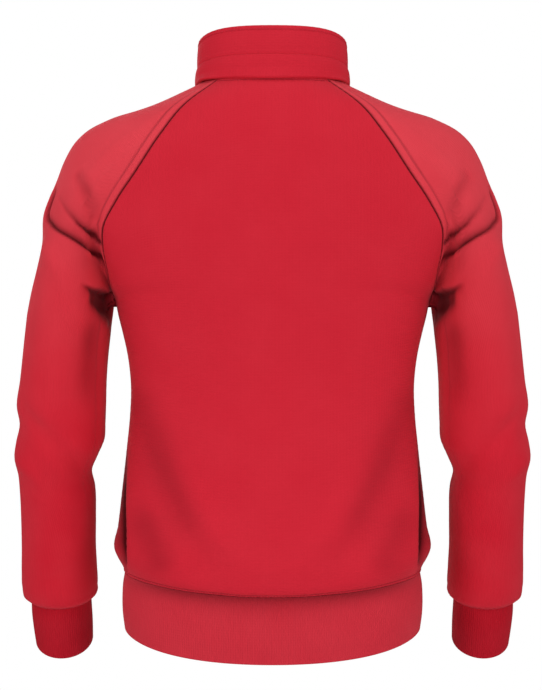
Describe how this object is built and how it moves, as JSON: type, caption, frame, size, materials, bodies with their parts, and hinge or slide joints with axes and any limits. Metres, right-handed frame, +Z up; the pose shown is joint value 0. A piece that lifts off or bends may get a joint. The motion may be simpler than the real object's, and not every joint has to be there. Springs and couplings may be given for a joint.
{
  "type": "raglan sweatshirt with a stand collar",
  "caption": "Long-sleeved raglan sports sweatshirt with a two-band stand collar, ribbed hem band and cuffs, hollow and filled out as if worn.",
  "frame": {"origin": "between the two neck points, level with the neckline seam, where the garment rests on its wearer", "axes": "+Z up towards the collar, the front faces -Y, +X towards the wearer's left sleeve"},
  "size_m": [0.591, 0.241, 0.7185],
  "materials": {
    "shell_knit": "matte double knit",
    "fine_rib": "matte fine rib"
  },
  "bodies": {
    "root": {"back_panel": "shell_knit", "front_panel": "shell_knit", "sleeve_left": "shell_knit", "sleeve_right": "shell_knit", "collar_lower": "shell_knit", "collar_upper": "shell_knit", "hem_band": "fine_rib", "cuff_left": "fine_rib", "cuff_right": "fine_rib"}
  },
  "joints": []
}
